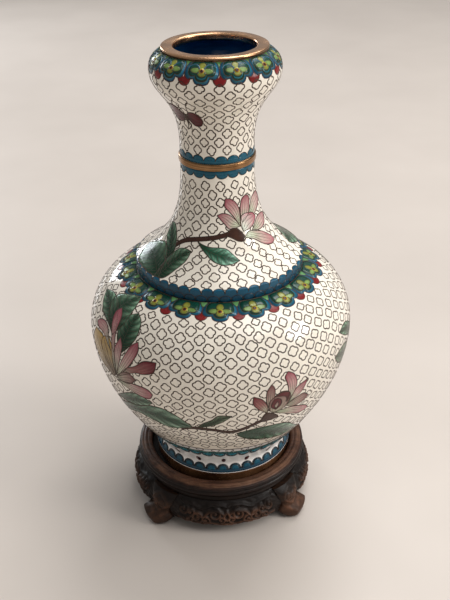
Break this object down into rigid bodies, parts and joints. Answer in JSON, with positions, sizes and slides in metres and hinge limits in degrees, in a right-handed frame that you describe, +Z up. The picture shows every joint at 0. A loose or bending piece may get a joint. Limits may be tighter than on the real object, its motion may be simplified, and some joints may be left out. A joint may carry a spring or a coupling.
{
  "type": "vase on stand",
  "caption": "Cloisonne enamel vase with a bulb mouth, slender neck, raised collar and round belly, standing loose in the recess of a low carved wooden stand on scrolled feet.",
  "frame": {"origin": "on the floor under the vase axis", "axes": "+Z up along the vase axis, -Y towards the front, where the dot of the foot border and a front apron panel face"},
  "size_m": [0.152, 0.152, 0.2824],
  "materials": {
    "enamel_field": "polished cream enamel with fine copper wire cells",
    "enamel_border": "polished teal, blue and green enamel",
    "enamel_blue": "plain blue enamel of the inside and base",
    "wire": "copper wire, dulled",
    "copper": "raised sheet copper",
    "brass": "gilt, worn",
    "wood": "dark rosewood, lacquered and worn at the edges",
    "wood_dark": "dark rosewood in the recesses"
  },
  "bodies": {
    "stand": {"stand_ring": "wood", "stand_board": "wood_dark", "stand_waist": "wood_dark", "apron_front": "wood", "apron_right": "wood", "apron_back": "wood", "apron_left": "wood", "leg_front_right": "wood", "leg_back_right": "wood", "leg_back_left": "wood", "leg_front_left": "wood"},
    "vase": {"foot_ring": "brass", "base_plate": "copper", "base_enamel": "enamel_blue", "base_liner": "enamel_blue", "copper_foot": "copper", "copper_belly": "copper", "copper_shoulder": "copper", "copper_neck": "copper", "copper_mouth": "copper", "liner_belly": "enamel_blue", "liner_shoulder": "enamel_blue", "liner_neck": "enamel_blue", "liner_mouth": "enamel_blue", "enamel_foot_border": "enamel_border", "wire_foot": "wire", "enamel_belly": "enamel_field", "enamel_shoulder": "enamel_field", "enamel_shoulder_border": "enamel_border", "wire_collar_foot": "wire", "enamel_collar": "enamel_border", "wire_collar_edge": "wire", "enamel_neck": "enamel_field", "enamel_neck_low_border": "enamel_border", "neck_ring": "brass", "enamel_neck_top_border": "enamel_border", "enamel_mouth": "enamel_field", "enamel_mouth_border": "enamel_border", "mouth_rim": "brass"}
  },
  "joints": [
    {"name": "vase_lift", "type": "slide", "parent": "stand", "child": "vase", "axis": [0, 0, 1], "range_m": [0, 0.08]}
  ]
}
